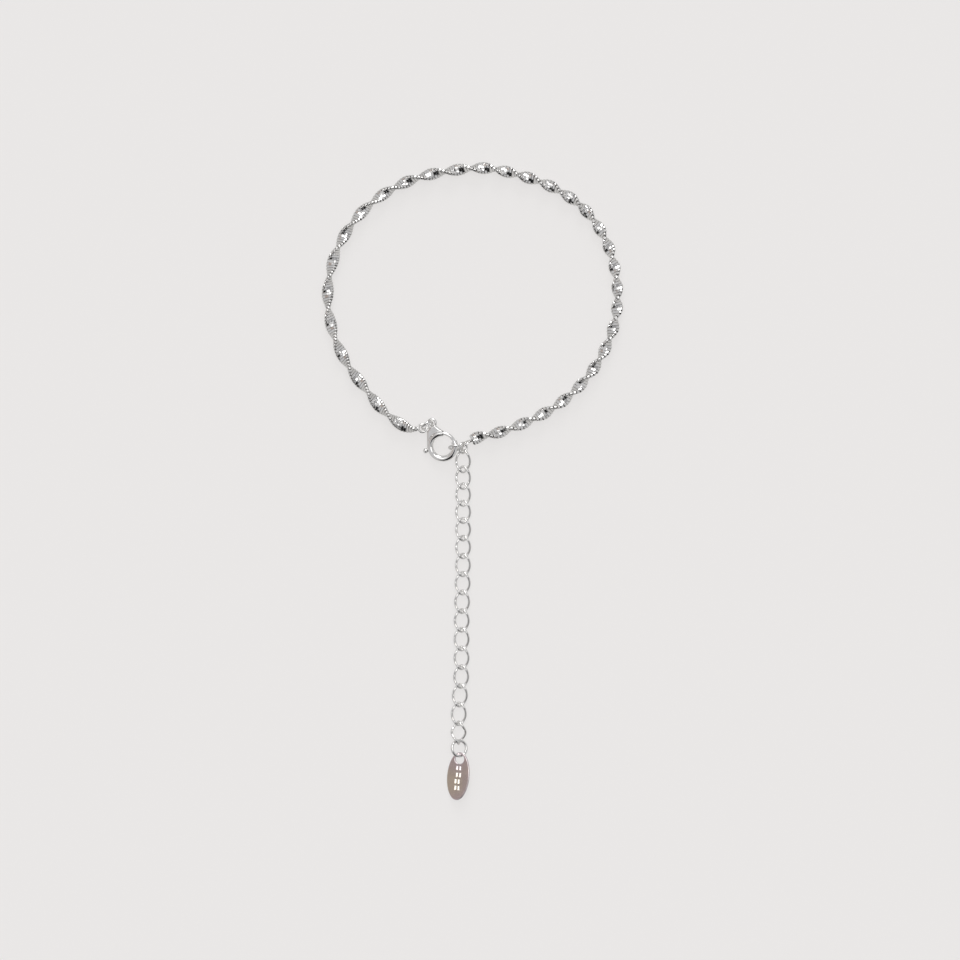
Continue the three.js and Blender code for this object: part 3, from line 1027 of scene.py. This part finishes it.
def floor(settings):
    """A wide pale floor that partly glows, so that the shadows on it stay faint."""
    side = FLOOR_HALF_SIDE
    mesh = bpy.data.meshes.new("floor")
    corners = [(-side, -side, 0), (side, -side, 0), (side, side, 0), (-side, side, 0)]
    mesh.from_pydata(corners, [], [(0, 1, 2, 3)])
    material = bpy.data.materials.new("pale_floor")
    material.use_nodes = True
    shader = Shader(material.node_tree)
    bsdf = shader.node("ShaderNodeBsdfPrincipled", {}, {
        "Base Color": with_alpha(scaled(settings.floor, 1 - settings.glow)),
        "Roughness": 0.9,
        "Specular IOR Level": 0.0,
        "Emission Color": with_alpha(settings.floor),
        "Emission Strength": settings.glow,
    })
    mirrored = shader.node("ShaderNodeEmission", {}, {
        "Color": with_alpha(settings.mirrored), "Strength": 1.0})
    surface = shader.node("ShaderNodeMixShader", {},
                          {0: camera_sees(shader), 1: mirrored, 2: bsdf})
    shader.node("ShaderNodeOutputMaterial", {}, {"Surface": surface})
    mesh.materials.append(material)
    thing = bpy.data.objects.new("floor", mesh)
    thing.location.z = -FLOOR_DROP * MM
    bpy.context.scene.collection.objects.link(thing)


def sun():
    """The soft lamp from the far side that gives the faint shadow."""
    lamp = bpy.data.lights.new("soft_sun", "SUN")
    lamp.energy = SUN_STRENGTH
    lamp.angle = math.radians(SUN_WIDTH)
    thing = bpy.data.objects.new("soft_sun", lamp)
    thing.rotation_euler = Euler((math.radians(SUN_TILT), 0, 0))
    bpy.context.scene.collection.objects.link(thing)


def camera(settings):
    """A long lens straight above."""
    data = bpy.data.cameras.new("camera")
    data.sensor_width = SENSOR_WIDTH
    data.lens = SENSOR_WIDTH * settings.camera_height / settings.view_width
    data.clip_start = 0.01
    data.clip_end = 20
    thing = bpy.data.objects.new("camera", data)
    thing.location = (VIEW_MIDDLE[0] * MM, VIEW_MIDDLE[1] * MM, settings.camera_height)
    bpy.context.scene.collection.objects.link(thing)
    bpy.context.scene.camera = thing


class BRACELET_OT_stage(Operator):
    """Make the floor, the light and the camera"""

    bl_idname = "bracelet.stage"
    bl_label = "Floor, light and camera"

    def execute(self, context):
        settings = context.scene.bracelet_stage
        sky()
        floor(settings)
        sun()
        camera(settings)
        context.scene.view_settings.view_transform = "Standard"
        return {"FINISHED"}


# ---------------------------------------------------------------------------------------
# The add-on
# ---------------------------------------------------------------------------------------

GROUPS = {
    "bracelet_chain": ChainSettings,
    "bracelet_clasp": ClaspSettings,
    "bracelet_wire": WireSettings,
    "bracelet_tag": TagSettings,
    "bracelet_stage": StageSettings,
}
OPERATORS = (BRACELET_OT_stage, BRACELET_OT_chain, BRACELET_OT_clasp, BRACELET_OT_rings,
             BRACELET_OT_extender, BRACELET_OT_tag)


class BRACELET_PT_pieces(Panel):
    """Lists the bracelet's pieces with their sizes and colours"""

    bl_idname = "BRACELET_PT_pieces"
    bl_label = "Bracelet"
    bl_space_type = "VIEW_3D"
    bl_region_type = "UI"
    bl_category = "Bracelet"

    def draw(self, context):
        for operator in OPERATORS:
            self.layout.operator(operator.bl_idname)
        for attribute in GROUPS:
            settings = getattr(context.scene, attribute)
            box = self.layout.box()
            for name in settings.__annotations__:
                box.prop(settings, name)


def register():
    """Adds the settings, the operators and the panel."""
    for attribute, group in GROUPS.items():
        bpy.utils.register_class(group)
        setattr(bpy.types.Scene, attribute, PointerProperty(type=group))
    for kind in (*OPERATORS, BRACELET_PT_pieces):
        bpy.utils.register_class(kind)


def unregister():
    """Takes away what register adds."""
    for kind in (BRACELET_PT_pieces, *reversed(OPERATORS)):
        bpy.utils.unregister_class(kind)
    for attribute, group in GROUPS.items():
        delattr(bpy.types.Scene, attribute)
        bpy.utils.unregister_class(group)


def main():
    """Makes the stage and every piece."""
    register()
    bpy.ops.bracelet.stage()
    bpy.ops.bracelet.chain()
    bpy.ops.bracelet.clasp()
    bpy.ops.bracelet.rings()
    bpy.ops.bracelet.extender()
    bpy.ops.bracelet.tag()


if __name__ == "__main__":
    main()
